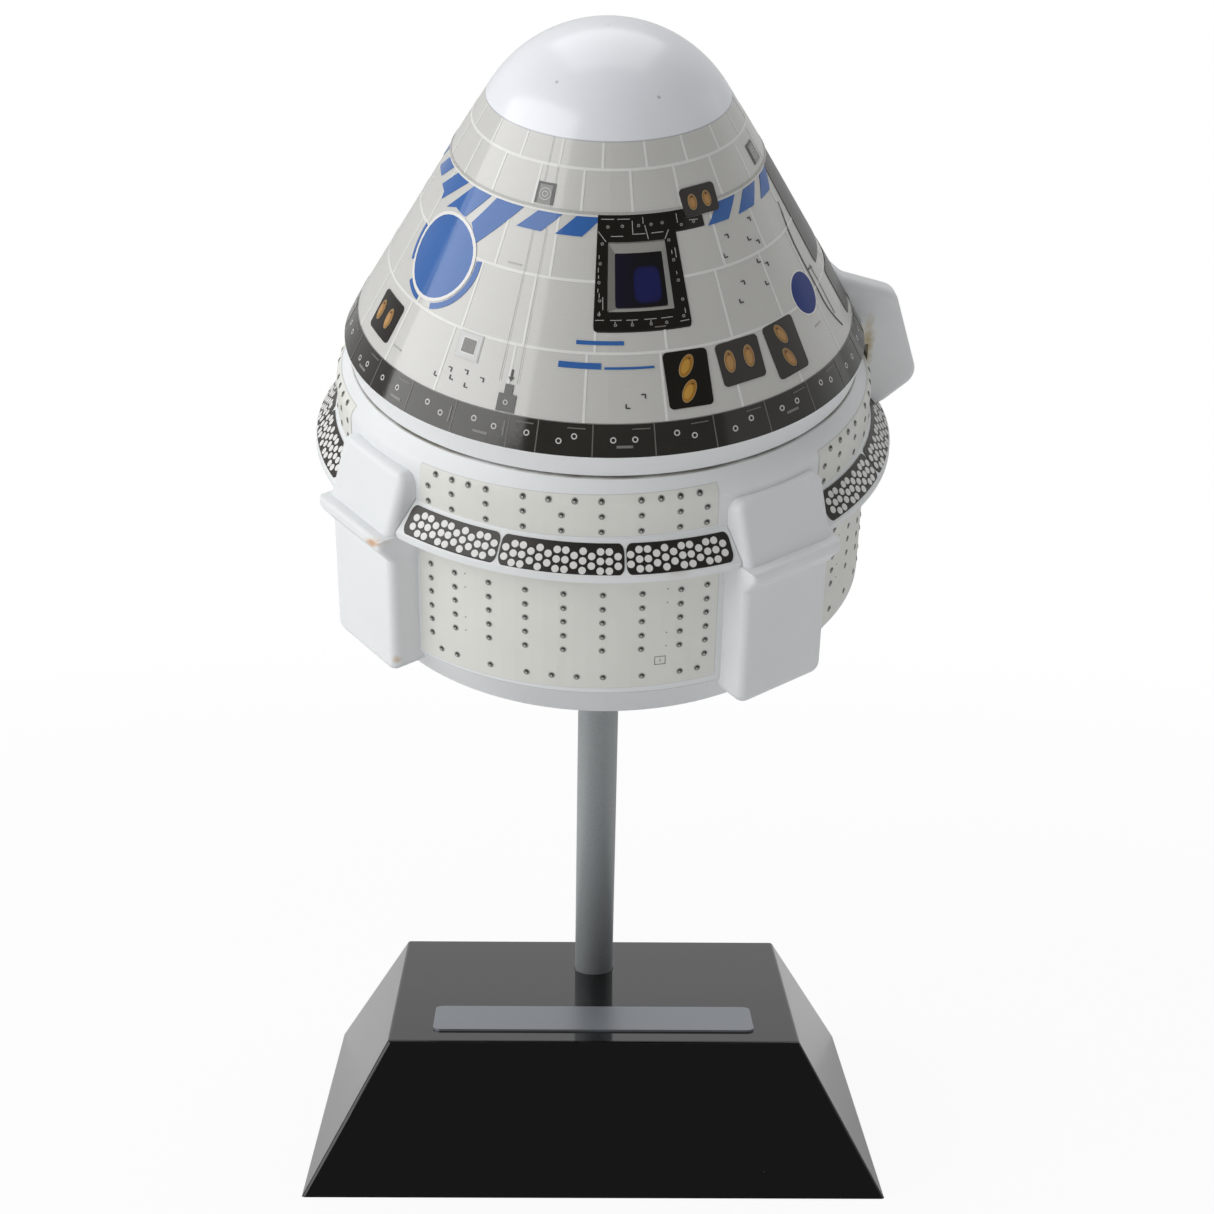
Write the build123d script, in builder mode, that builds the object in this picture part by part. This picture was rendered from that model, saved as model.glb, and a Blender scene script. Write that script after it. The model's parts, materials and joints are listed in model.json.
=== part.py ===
from build123d import *
from math import asin, cos, degrees, radians, sin, tan
import os

# A desk model of a two-stage space capsule: a cone-shaped crew module on a round service
# module, held on a leaning rod above a bevelled plinth. Millimetres, +Z up, the viewer at -Y.
# The origin is the middle of the plinth's underside. Heights on the capsule are measured
# along its leaning axis from the aft rim of the service module.

# Plinth
plinth_foot_width = 113.2
plinth_foot_depth = 98.0
plinth_head_width = 81.5
plinth_head_depth = 68.6
plinth_height = 26.7
plinth_edge_round = 0.8
felt_thickness = 0.8
felt_margin = 3.0

# Blank name plate on the plinth's top
plate_width = 64.5
plate_depth = 14.8
plate_thickness = 0.4
plate_front_margin = 6.0
plate_corner = 1.6

# Leaning rod
lean_angle = 24.4
rod_diameter = 8.1
rod_set_back = 14.2
rod_side_shift = 0.5
rod_shown = 101.2
rod_in_plinth = 18.0
rod_in_capsule = 20.0
rod_clearance = 0.15

# Service module
barrel_radius = 49.2
barrel_height = 49.6
aft_inset = 4.3
aft_slope_height = 7.2
aft_blend = 1.5
shoulder_inset = 2.8
shoulder_height = 3.2
shoulder_blend = 3.0
aft_rim_width = 6.2
aft_recess_depth = 2.5

# Flared ring around the service module
flare_drop = 10.2
flare_width = 4.4
flare_fall = 5.2
flare_edge_height = 1.15
flare_underside_fall = 1.8
flare_gap = 0.15

# Perforated panels on the flare, a wide one between two narrow ones
dot_panel_thickness = 0.2
dot_panel_inner_edge = 0.7
dot_panel_outer_edge = 0.25
dot_panel_end_edge = 0.4
dot_panel_spacing = 0.35
dot_panel_corner = 1.0
middle_panel_angle = 24.0

# Doghouses, the four thruster housings
sector_count = 4
first_doghouse = 36.4
doghouse_half_width = 9.7
doghouse_drop = 5.1
doghouse_top_reach = 1.6
doghouse_reach = 5.1
doghouse_lower_reach = 4.8
doghouse_foot = 4.1
doghouse_corner = 2.2
doghouse_round = 1.6
lip_drop = 16.4
lip_reach = 7.2
lip_thickness = 1.9
lip_slope_drop = 3.2
lip_overhang = 0.3
lip_round = 0.9

# Umbilical cover over the seam: steps outward from the barrel, heights from the seam
cover_azimuth = 97.0
cover_half_width = 2.6
cover_rise = 15.8
cover_brow_rise = 13.4
cover_brow_inset = 5.4
cover_shoulder_rise = 10.0
cover_shoulder_reach = 4.7
cover_chin_drop = 7.6
cover_chin_reach = 10.1
cover_foot_drop = 13.2
cover_foot_reach = 3.3
cover_bend = 3.6
cover_round = 1.6

# Crew module
rim_swell = 1.1
rim_height = 4.55
seam_groove_height = 0.45
seam_groove_depth = 0.9
band_taper = 2.7
band_height = 5.05
cone_half_angle = 30.0
cone_height = 40.4
wrap_thickness = 0.35
glue_line = 0.05
step_rise = 30.1
step_depth = 0.25

# Window on the cone, azimuths and rises above the tile band
inlay_thickness = 0.15
inlay_gap = 0.05
frame_left = -4.1
frame_right = 22.2
frame_bottom = 13.1
frame_top = 29.8
frame_arm_right = 33.2
frame_arm_bottom = 26.9
frame_corner = 0.5
reveal_left = -0.4
reveal_right = 17.9
reveal_bottom = 16.1
reveal_top = 25.9
pane_left = 1.7
pane_right = 16.4
pane_bottom = 16.5
pane_top = 24.5
pane_corner = 0.4

# Thruster panels: way round the cone to the right, rise above the tile band, width,
# length, turn
panel_corner = 0.8
panel_reach = 4.0
thruster_panels = (
    ("thruster_panel_1", 13.7, 5.7, 7.9, 9.6, -0.5),
    ("thruster_panel_2", 23.9, 6.6, 8.8, 7.4, 0.0),
    ("thruster_panel_3", 34.6, 5.9, 7.9, 9.6, 0.5),
    ("thruster_panel_4", -49.2, 5.2, 8.6, 7.4, 0.0),
)
raised_panel_azimuth = 33.7
raised_panel_rise = 30.75
raised_panel_width = 7.1
raised_panel_length = 4.9

# Printed side panels, azimuths and rises above the tile band
upper_panel_bottom = 12.1
upper_panel_top = 29.8
lower_panel_bottom = 1.3
lower_panel_top = 9.4
side_panel_corner = 0.6
side_panels = (
    ("side_panel_1", 78.0, 118.0, upper_panel_bottom, upper_panel_top),
    ("side_panel_2", 82.0, 112.0, lower_panel_bottom, lower_panel_top),
)

# Aft engines
nozzle_inset = 14.7
nozzle_throat = 2.2
nozzle_mouth = 4.6
nozzle_length = 8.0
nozzle_wall = 0.7

os.makedirs("parts", exist_ok=True)

# Levels and radii that follow from the sizes above
aft_radius = barrel_radius - aft_inset
seam_radius = barrel_radius - shoulder_inset
aft_recess_radius = aft_radius - aft_rim_width
nozzle_circle = aft_recess_radius - nozzle_inset
flare_radius = barrel_radius + flare_width
flare_top = barrel_height - flare_drop
flare_edge_top = flare_top - flare_fall
flare_edge_foot = flare_edge_top - flare_edge_height
flare_underside = flare_edge_foot - flare_underside_fall
lip_height = barrel_height - lip_drop
lip_foot = lip_height - lip_thickness - lip_slope_drop
widest_radius = seam_radius + rim_swell
widest_height = barrel_height + rim_height
band_top_radius = widest_radius - band_taper
band_top = widest_height + band_height
cone_slope = tan(radians(cone_half_angle))
cone_top = band_top + cone_height
cone_top_radius = band_top_radius - cone_height * cone_slope
step_height = band_top + step_rise
sector_turn = 360 / sector_count
sectors = range(sector_count)

# The leaning axis of rod and capsule
axis_up = Vector(0, -sin(radians(lean_angle)), cos(radians(lean_angle)))
front = Vector(0, -cos(radians(lean_angle)), -sin(radians(lean_angle)))
side = Vector(1, 0, 0)
rod_foot = Vector(rod_side_shift, rod_set_back, plinth_height)
aft_centre = rod_foot + axis_up * rod_shown
spine = Axis(aft_centre, axis_up)


def outward(azimuth):
    """Direction away from the axis: azimuth 0 is to the viewer and 90 to the right."""
    return front * cos(radians(azimuth)) + side * sin(radians(azimuth))


def section(azimuth):
    """Plane through the axis: its x runs outward and its y up the axis."""
    return Plane(aft_centre, x_dir=outward(azimuth), z_dir=outward(azimuth).cross(axis_up))


def station(height):
    """Plane square to the axis at a height on the capsule, where angles are azimuths."""
    return Plane(aft_centre + axis_up * height, x_dir=front, z_dir=axis_up)


def cone_radius(height):
    return band_top_radius - (height - band_top) * cone_slope


def on_cone(azimuth, height):
    """Plane lying on the cone: its x runs to the right and its y up the slope."""
    up_slope = axis_up - outward(azimuth) * cone_slope
    across = axis_up.cross(outward(azimuth))
    spot = aft_centre + axis_up * height + outward(azimuth) * cone_radius(height)
    return Plane(spot, x_dir=across, z_dir=across.cross(up_slope))


def ring_sector(inner_radius, outer_radius, first_azimuth, last_azimuth):
    """Edges, for a sketch on a station, of a piece of a ring between two azimuths."""
    turn = last_azimuth - first_azimuth
    with BuildLine(Plane.XY) as outline:
        outer_arc = CenterArc((0, 0), outer_radius, first_azimuth, turn)
        inner_arc = CenterArc((0, 0), inner_radius, first_azimuth, turn)
        Line(outer_arc @ 0, inner_arc @ 0)
        Line(outer_arc @ 1, inner_arc @ 1)
    return outline.edges()


def cone_patch(first_azimuth, last_azimuth, bottom, top, margin=0.0):
    """Edges, for a sketch on a station, under a patch of the cone with a margin around it."""
    low_radius = cone_radius(band_top + bottom) + margin
    high_radius = cone_radius(band_top + top) - margin
    margin_turn = degrees(margin / high_radius)
    return ring_sector(
        high_radius, low_radius, first_azimuth - margin_turn, last_azimuth + margin_turn
    )


# Plinth with a leaning socket for the rod and a shallow recess for the felt
with BuildPart() as plinth:
    with BuildSketch(Plane.XY):
        Rectangle(plinth_foot_width, plinth_foot_depth)
    with BuildSketch(Plane.XY.offset(plinth_height)):
        Rectangle(plinth_head_width, plinth_head_depth)
    loft()
    fillet(plinth.edges().sort_by(Axis.Z)[4:], plinth_edge_round)
    with BuildSketch(Plane.XY):
        Rectangle(plinth_foot_width - 2 * felt_margin, plinth_foot_depth - 2 * felt_margin)
    extrude(amount=felt_thickness, mode=Mode.SUBTRACT)
    with BuildSketch(Plane(rod_foot - axis_up * rod_in_plinth, x_dir=side, z_dir=axis_up)):
        Circle(rod_diameter / 2 + rod_clearance)
    extrude(amount=rod_in_plinth + rod_diameter, mode=Mode.SUBTRACT)
plinth.part.label = "plinth"
export_step(plinth.part, "parts/plinth.step")

with BuildPart() as plinth_felt:
    with BuildSketch(Plane.XY):
        Rectangle(plinth_foot_width - 2 * felt_margin, plinth_foot_depth - 2 * felt_margin)
    extrude(amount=felt_thickness)
plinth_felt.part.label = "plinth_felt"
export_step(plinth_felt.part, "parts/plinth_felt.step")

with BuildPart() as name_plate:
    with BuildSketch(Plane.XY.offset(plinth_height)):
        with Locations((0, plate_front_margin + (plate_depth - plinth_head_depth) / 2)):
            RectangleRounded(plate_width, plate_depth, plate_corner)
    extrude(amount=plate_thickness)
name_plate.part.label = "name_plate"
export_step(name_plate.part, "parts/name_plate.step")

with BuildPart() as stand_rod:
    with BuildSketch(Plane(rod_foot - axis_up * rod_in_plinth, x_dir=side, z_dir=axis_up)):
        Circle(rod_diameter / 2)
    extrude(amount=rod_in_plinth + rod_shown + rod_in_capsule)
stand_rod.part.label = "stand_rod"
export_step(stand_rod.part, "parts/stand_rod.step")

# Service module: a turned barrel with a sloping aft edge and a rounded shoulder
with BuildSketch(section(0)) as barrel_outline:
    with BuildLine():
        Polyline(
            (0, 0),
            (aft_radius, 0),
            (barrel_radius, aft_slope_height),
            (barrel_radius, barrel_height - shoulder_height),
            (seam_radius, barrel_height),
            (0, barrel_height),
            close=True,
        )
    make_face()
    widest_corners = barrel_outline.vertices().sort_by(Axis.X)[-2:].sort_by(Axis.Y)
    fillet(widest_corners[-1], shoulder_blend)
    fillet(widest_corners[0], aft_blend)

with BuildPart() as service_barrel:
    revolve(barrel_outline.sketch, axis=spine)
    with BuildSketch(station(0)):
        Circle(aft_recess_radius)
    extrude(amount=aft_recess_depth, mode=Mode.SUBTRACT)
    with BuildSketch(station(0)):
        Circle(rod_diameter / 2 + rod_clearance)
    extrude(amount=rod_in_capsule, mode=Mode.SUBTRACT)
service_barrel.part.label = "service_barrel"
export_step(service_barrel.part, "parts/service_barrel.step")

# Solar disc set in the aft recess, with holes for the rod and the engines
first_bell = first_doghouse + sector_turn / 2
with BuildPart() as solar_disc:
    with BuildSketch(station(0)):
        Circle(aft_recess_radius - rod_clearance)
        Circle(rod_diameter / 2 + rod_clearance, mode=Mode.SUBTRACT)
        with PolarLocations(nozzle_circle, sector_count, start_angle=first_bell):
            Circle(nozzle_throat + nozzle_wall + rod_clearance, mode=Mode.SUBTRACT)
    extrude(amount=aft_recess_depth)
solar_disc.part.label = "solar_disc"
export_step(solar_disc.part, "parts/solar_disc.step")

# Aft engine bells: a stem in the disc and a hollow skirt below it
for sector in sectors:
    azimuth = first_bell + sector * sector_turn
    with BuildPart() as nozzle:
        with BuildSketch(section(azimuth)):
            with Locations((nozzle_circle, 0)):
                Polygon(
                    (0, aft_recess_depth),
                    (nozzle_throat + nozzle_wall, aft_recess_depth),
                    (nozzle_throat + nozzle_wall, 0),
                    (nozzle_mouth, -nozzle_length),
                    (nozzle_mouth - nozzle_wall, -nozzle_length),
                    (nozzle_throat, 0),
                    (0, 0),
                    align=None,
                )
        revolve(axis=Axis(aft_centre + outward(azimuth) * nozzle_circle, axis_up))
    nozzle.part.label = f"engine_bell_{sector + 1}"
    export_step(nozzle.part, f"parts/engine_bell_{sector + 1}.step")

# Flared ring in four segments, each ending against the doghouses beside it
for sector in sectors:
    start = first_doghouse + sector_turn * (sector - 1)
    with BuildPart() as flare:
        with BuildSketch(section(start)):
            Polygon(
                (barrel_radius, flare_underside),
                (flare_radius, flare_edge_foot),
                (flare_radius, flare_edge_top),
                (barrel_radius, flare_top),
                align=None,
            )
        revolve(axis=spine, revolution_arc=sector_turn)
        for azimuth in (start, start + sector_turn):
            with BuildSketch(section(azimuth)):
                with Locations((barrel_radius, barrel_height / 2)):
                    Rectangle(flare_radius, barrel_height)
            extrude(amount=doghouse_half_width + flare_gap, both=True, mode=Mode.SUBTRACT)
            with BuildSketch(section(azimuth)):
                with Locations((flare_radius, (lip_height + lip_foot) / 2)):
                    Rectangle(flare_radius, lip_height - lip_foot + 2 * flare_gap)
            extrude(
                amount=doghouse_half_width + lip_overhang + flare_gap, both=True, mode=Mode.SUBTRACT
            )
    flare.part.label = f"flare_{sector + 1}"
    export_step(flare.part, f"parts/flare_{sector + 1}.step")

# Perforated panels lying on each flare segment
panel_inner = barrel_radius + dot_panel_inner_edge
panel_outer = flare_radius - dot_panel_outer_edge
panel_end = sector_turn / 2 - degrees(
    asin((doghouse_half_width + flare_gap) / panel_inner) + dot_panel_end_edge / panel_inner
)
middle_end = middle_panel_angle / 2
side_start = middle_end + degrees(dot_panel_spacing / panel_inner)
panel_spans = ((-panel_end, -side_start), (-middle_end, middle_end), (side_start, panel_end))
with BuildSketch(section(0)) as panel_skin:
    Polygon(
        (barrel_radius, flare_top),
        (flare_radius, flare_edge_top),
        (flare_radius, flare_edge_top + dot_panel_thickness),
        (barrel_radius, flare_top + dot_panel_thickness),
        align=None,
    )
for sector in sectors:
    middle = first_doghouse + sector_turn * (sector - 0.5)
    with BuildPart() as dot_panels:
        for first, last in panel_spans:
            with BuildSketch(station(flare_underside)):
                make_face(ring_sector(panel_inner, panel_outer, middle + first, middle + last))
                fillet(vertices(), dot_panel_corner)
            extrude(amount=flare_top)
        revolve(panel_skin.sketch, axis=spine, mode=Mode.INTERSECT)
    dot_panels.part.label = f"dot_panels_{sector + 1}"
    export_step(dot_panels.part, f"parts/dot_panels_{sector + 1}.step")

# Doghouses: a sloping upper box on an undercut lip, and a straight lower box, fitted to the barrel
doghouse_root = barrel_radius - doghouse_half_width / 2
doghouse_top = barrel_height - doghouse_drop
upper_face = barrel_radius + doghouse_reach
lower_face = barrel_radius + doghouse_lower_reach
lip_face = barrel_radius + lip_reach
for sector in sectors:
    azimuth = first_doghouse + sector_turn * sector
    radial = Axis(aft_centre, outward(azimuth))
    with BuildPart() as doghouse_upper:
        with BuildSketch(section(azimuth)):
            Polygon(
                (doghouse_root, doghouse_top),
                (barrel_radius + doghouse_top_reach, doghouse_top),
                (upper_face, lip_height),
                (doghouse_root, lip_height),
                align=None,
            )
        extrude(amount=doghouse_half_width, both=True)
        top_face = doghouse_upper.faces().sort_by(spine)[-1]
        fillet(top_face.edges().filter_by(radial), doghouse_corner)
        front_face = doghouse_upper.faces().sort_by(radial)[-1]
        fillet(front_face.edges().sort_by(spine)[1:], doghouse_round)
        with BuildSketch(section(azimuth)):
            Polygon(
                (doghouse_root, lip_height),
                (lip_face, lip_height),
                (lip_face, lip_height - lip_thickness),
                (lower_face, lip_foot),
                (doghouse_root, lip_foot),
                align=None,
            )
        extrude(amount=doghouse_half_width + lip_overhang, both=True)
        slope_face, nose_face = doghouse_upper.faces().sort_by(radial)[-2:]
        fillet(nose_face.edges() + slope_face.edges().sort_by(spine)[1:-1], lip_round)
        revolve(barrel_outline.sketch, axis=spine, mode=Mode.SUBTRACT)
    doghouse_upper.part.label = f"doghouse_upper_{sector + 1}"
    export_step(doghouse_upper.part, f"parts/doghouse_upper_{sector + 1}.step")

    with BuildPart() as doghouse_lower:
        with BuildSketch(section(azimuth)):
            Polygon(
                (doghouse_root, lip_foot),
                (lower_face, lip_foot),
                (lower_face, doghouse_foot),
                (doghouse_root, doghouse_foot),
                align=None,
            )
        extrude(amount=doghouse_half_width, both=True)
        bottom_face = doghouse_lower.faces().sort_by(spine)[0]
        fillet(bottom_face.edges().filter_by(radial), doghouse_corner)
        front_face = doghouse_lower.faces().sort_by(radial)[-1]
        fillet(front_face.edges().sort_by(spine)[:-1], doghouse_round)
        revolve(barrel_outline.sketch, axis=spine, mode=Mode.SUBTRACT)
    doghouse_lower.part.label = f"doghouse_lower_{sector + 1}"
    export_step(doghouse_lower.part, f"parts/doghouse_lower_{sector + 1}.step")

# Crew module: a cast body with a white rim, wrapped by a tile band and two cone sections
wrap_seat = wrap_thickness + glue_line
with BuildPart() as crew_body:
    with BuildSketch(section(0)):
        Polygon(
            (0, barrel_height),
            (seam_radius - seam_groove_depth, barrel_height),
            (seam_radius - seam_groove_depth, barrel_height + seam_groove_height),
            (seam_radius, barrel_height + seam_groove_height),
            (widest_radius, widest_height),
            (widest_radius - wrap_seat, widest_height),
            (band_top_radius - wrap_seat, band_top),
            (cone_top_radius - wrap_seat, cone_top),
            (0, cone_top),
            align=None,
        )
    revolve(axis=spine)
crew_body.part.label = "crew_body"
export_step(crew_body.part, "parts/crew_body.step")

with BuildPart() as tile_band:
    with BuildSketch(section(0)):
        Polygon(
            (widest_radius - wrap_thickness, widest_height),
            (widest_radius, widest_height),
            (band_top_radius, band_top),
            (band_top_radius - wrap_thickness, band_top),
            align=None,
        )
    revolve(axis=spine)
tile_band.part.label = "tile_band"
export_step(tile_band.part, "parts/tile_band.step")

with BuildPart() as cone_wrap:
    with BuildSketch(section(0)):
        Polygon(
            (band_top_radius - wrap_thickness, band_top),
            (band_top_radius, band_top),
            (cone_radius(step_height), step_height),
            (cone_radius(step_height) - wrap_thickness, step_height),
            align=None,
        )
    revolve(axis=spine)
cone_wrap.part.label = "cone_wrap"
export_step(cone_wrap.part, "parts/cone_wrap.step")

with BuildPart() as forward_wrap:
    with BuildSketch(section(0)):
        Polygon(
            (cone_radius(step_height) - wrap_thickness, step_height),
            (cone_radius(step_height) + step_depth, step_height),
            (cone_top_radius, cone_top),
            (cone_top_radius - wrap_thickness, cone_top),
            align=None,
        )
    revolve(axis=spine)
forward_wrap.part.label = "forward_wrap"
export_step(forward_wrap.part, "parts/forward_wrap.step")

# Nose dome: a ball cap that runs on from the cone's slope
cap_centre = cone_top - cone_top_radius * cone_slope
cap_radius = cone_top_radius / cos(radians(cone_half_angle))
with BuildPart() as nose_dome:
    with BuildSketch(section(0)):
        with BuildLine():
            Polyline((0, cap_centre + cap_radius), (0, cone_top), (cone_top_radius, cone_top))
            RadiusArc((cone_top_radius, cone_top), (0, cap_centre + cap_radius), -cap_radius)
        make_face()
    revolve(axis=spine)
nose_dome.part.label = "nose_dome"
export_step(nose_dome.part, "parts/nose_dome.step")

# Thin skin over the cone that the flush inlays are cut from
with BuildSketch(section(0)) as inlay_skin:
    Polygon(
        (band_top_radius, band_top),
        (band_top_radius + inlay_thickness, band_top),
        (cone_radius(step_height) + inlay_thickness, step_height),
        (cone_radius(step_height), step_height),
        align=None,
    )

# Skin for the raised panel, which bridges the step between the two cone sections
raised_foot = step_height - raised_panel_length
raised_thickness = step_depth + inlay_thickness
with BuildSketch(section(0)) as raised_skin:
    Polygon(
        (cone_radius(raised_foot), raised_foot),
        (cone_radius(step_height), step_height),
        (cone_radius(step_height) + step_depth, step_height),
        (cone_top_radius, cone_top),
        (cone_top_radius + raised_thickness, cone_top),
        (cone_radius(raised_foot) + raised_thickness, raised_foot),
        align=None,
    )

# Window: a black frame with an arm to the right, a pale reveal and a dark pane
with BuildPart() as window_frame:
    with BuildSketch(station(0)):
        make_face(cone_patch(frame_left, frame_right, frame_bottom, frame_top))
        fillet(vertices().sort_by_distance((0, 0))[-2:], frame_corner)
    extrude(amount=cone_top)
    with BuildSketch(station(0)):
        make_face(cone_patch(frame_right - inlay_gap, frame_arm_right, frame_arm_bottom, frame_top))
    extrude(amount=cone_top)
    with BuildSketch(station(0)):
        make_face(cone_patch(reveal_left, reveal_right, reveal_bottom, reveal_top, inlay_gap))
    extrude(amount=cone_top, mode=Mode.SUBTRACT)
    revolve(inlay_skin.sketch, axis=spine, mode=Mode.INTERSECT)
    with BuildSketch(on_cone(raised_panel_azimuth, band_top + raised_panel_rise)):
        RectangleRounded(
            raised_panel_width + 2 * inlay_gap, raised_panel_length + 2 * inlay_gap, panel_corner
        )
    extrude(amount=panel_reach, both=True, mode=Mode.SUBTRACT)
window_frame.part.label = "window_frame"
export_step(window_frame.part, "parts/window_frame.step")

with BuildPart() as window_reveal:
    with BuildSketch(station(0)):
        make_face(cone_patch(reveal_left, reveal_right, reveal_bottom, reveal_top))
    extrude(amount=cone_top)
    with BuildSketch(station(0)):
        make_face(cone_patch(pane_left, pane_right, pane_bottom, pane_top, inlay_gap))
        fillet(vertices(), pane_corner + inlay_gap)
    extrude(amount=cone_top, mode=Mode.SUBTRACT)
    revolve(inlay_skin.sketch, axis=spine, mode=Mode.INTERSECT)
window_reveal.part.label = "window_reveal"
export_step(window_reveal.part, "parts/window_reveal.step")

with BuildPart() as window_pane:
    with BuildSketch(station(0)):
        make_face(cone_patch(pane_left, pane_right, pane_bottom, pane_top))
        fillet(vertices(), pane_corner)
    extrude(amount=cone_top)
    revolve(inlay_skin.sketch, axis=spine, mode=Mode.INTERSECT)
window_pane.part.label = "window_pane"
export_step(window_pane.part, "parts/window_pane.step")

# Panels for the printed thrusters, four flush on the cone and one raised over the step
for panel_name, way_round, rise, width, length, turn in thruster_panels:
    azimuth = degrees(way_round / cone_radius(band_top + rise))
    with BuildPart() as thruster_panel:
        with BuildSketch(on_cone(azimuth, band_top + rise)):
            with Locations(Location((0, 0), turn)):
                RectangleRounded(width, length, panel_corner)
        extrude(amount=panel_reach, both=True)
        revolve(inlay_skin.sketch, axis=spine, mode=Mode.INTERSECT)
    thruster_panel.part.label = panel_name
    export_step(thruster_panel.part, f"parts/{panel_name}.step")

with BuildPart() as raised_panel:
    with BuildSketch(on_cone(raised_panel_azimuth, band_top + raised_panel_rise)):
        RectangleRounded(raised_panel_width, raised_panel_length, panel_corner)
    extrude(amount=panel_reach, both=True)
    revolve(raised_skin.sketch, axis=spine, mode=Mode.INTERSECT)
raised_panel.part.label = "thruster_panel_5"
export_step(raised_panel.part, "parts/thruster_panel_5.step")

# Grey panels above and behind the umbilical cover
for panel_name, first_azimuth, last_azimuth, bottom, top in side_panels:
    with BuildPart() as side_panel:
        with BuildSketch(station(0)):
            make_face(cone_patch(first_azimuth, last_azimuth, bottom, top))
            fillet(vertices(), side_panel_corner)
        extrude(amount=cone_top)
        revolve(inlay_skin.sketch, axis=spine, mode=Mode.INTERSECT)
    side_panel.part.label = panel_name
    export_step(side_panel.part, f"parts/{panel_name}.step")

# Umbilical cover: a bent box from the cone down to the flare, cut to what it spans
cover_root = seam_radius / 2
cover_foot = barrel_height - cover_foot_drop
cover_head = barrel_height + cover_rise
cover_radial = Axis(aft_centre, outward(cover_azimuth))
cover_across = outward(cover_azimuth).cross(axis_up)
with BuildPart() as umbilical_cover:
    with BuildSketch(section(cover_azimuth)) as cover_outline:
        Polygon(
            (cover_root, cover_head),
            (cone_radius(cover_head), cover_head),
            (barrel_radius - cover_brow_inset, barrel_height + cover_brow_rise),
            (barrel_radius + cover_shoulder_reach, barrel_height + cover_shoulder_rise),
            (barrel_radius + cover_chin_reach, barrel_height - cover_chin_drop),
            (barrel_radius + cover_foot_reach, cover_foot),
            (cover_root, cover_foot),
            align=None,
        )
        fillet(cover_outline.vertices().sort_by(Axis.X)[-4:], cover_bend)
    extrude(amount=cover_half_width, both=True)
    for sideways in (cover_across, -cover_across):
        cheek = umbilical_cover.faces().sort_by(Axis(aft_centre, sideways))[-1]
        fillet(cheek.edges().sort_by(cover_radial)[1:], cover_round)
    revolve(barrel_outline.sketch, axis=spine, mode=Mode.SUBTRACT)
    with BuildSketch(section(0)):
        Polygon(
            (0, flare_underside),
            (barrel_radius, flare_underside),
            (flare_radius, flare_edge_foot),
            (flare_radius, flare_edge_top + dot_panel_thickness),
            (barrel_radius, flare_top + dot_panel_thickness),
            (barrel_radius, barrel_height),
            (seam_radius, barrel_height),
            (widest_radius, widest_height),
            (band_top_radius, band_top),
            (band_top_radius + inlay_thickness, band_top),
            (cone_top_radius + inlay_thickness, cone_top),
            (0, cone_top),
            align=None,
        )
    revolve(axis=spine, mode=Mode.SUBTRACT)
umbilical_cover.part.label = "umbilical_cover"
export_step(umbilical_cover.part, "parts/umbilical_cover.step")
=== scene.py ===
import json
from math import ceil, cos, degrees, floor, pi, radians, sin

import bmesh
import bpy
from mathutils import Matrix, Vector


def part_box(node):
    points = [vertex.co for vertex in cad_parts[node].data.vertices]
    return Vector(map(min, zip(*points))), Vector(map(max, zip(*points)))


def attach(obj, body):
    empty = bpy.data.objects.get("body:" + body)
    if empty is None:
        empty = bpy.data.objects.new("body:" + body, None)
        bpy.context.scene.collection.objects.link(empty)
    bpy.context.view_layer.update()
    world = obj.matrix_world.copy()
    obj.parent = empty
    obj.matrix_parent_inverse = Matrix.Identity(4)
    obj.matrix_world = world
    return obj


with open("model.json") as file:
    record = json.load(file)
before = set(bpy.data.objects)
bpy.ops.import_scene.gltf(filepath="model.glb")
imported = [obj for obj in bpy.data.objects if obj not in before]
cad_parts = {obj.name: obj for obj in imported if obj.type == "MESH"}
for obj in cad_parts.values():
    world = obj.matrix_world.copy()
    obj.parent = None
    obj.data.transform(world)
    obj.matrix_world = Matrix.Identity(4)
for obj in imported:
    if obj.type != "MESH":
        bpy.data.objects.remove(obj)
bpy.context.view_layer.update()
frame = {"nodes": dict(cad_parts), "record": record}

# Sizes are in millimetres and become metres where meshes are made
MM = 0.001

# The capsule leans towards the viewer on its rod and is turned a little.
# Azimuths are in degrees from its own front to the right, heights in millimetres above its aft rim.
LEAN = radians(24.4)
CAPSULE_TURN = -0.6
UP = Vector((0, -sin(LEAN), cos(LEAN)))
FRONT = Vector((0, -cos(LEAN), -sin(LEAN)))
SIDE = Vector((1, 0, 0))
ROD_SET_BACK = 14.2
ROD_SHOWN = 101.2
PLINTH_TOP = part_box("plinth")[1].z
ROD_SIDE_SHIFT = sum(corner.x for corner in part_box("stand_rod")) / 2
AFT = Vector((ROD_SIDE_SHIFT, ROD_SET_BACK * MM, PLINTH_TOP)) + UP * ROD_SHOWN * MM


def reach(node):
    """Height above the aft rim and distance from the axis of each vertex of a node."""
    for vertex in frame["nodes"][node].data.vertices:
        offset = vertex.co - AFT
        height = offset.dot(UP)
        yield height / MM, (offset - UP * height).length / MM


def levels(node):
    """Lowest and highest height of a node."""
    heights = [height for height, radius in reach(node)]
    return min(heights), max(heights)


def widest(node):
    """Largest distance of a node from the axis."""
    return max(radius for height, radius in reach(node))


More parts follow.
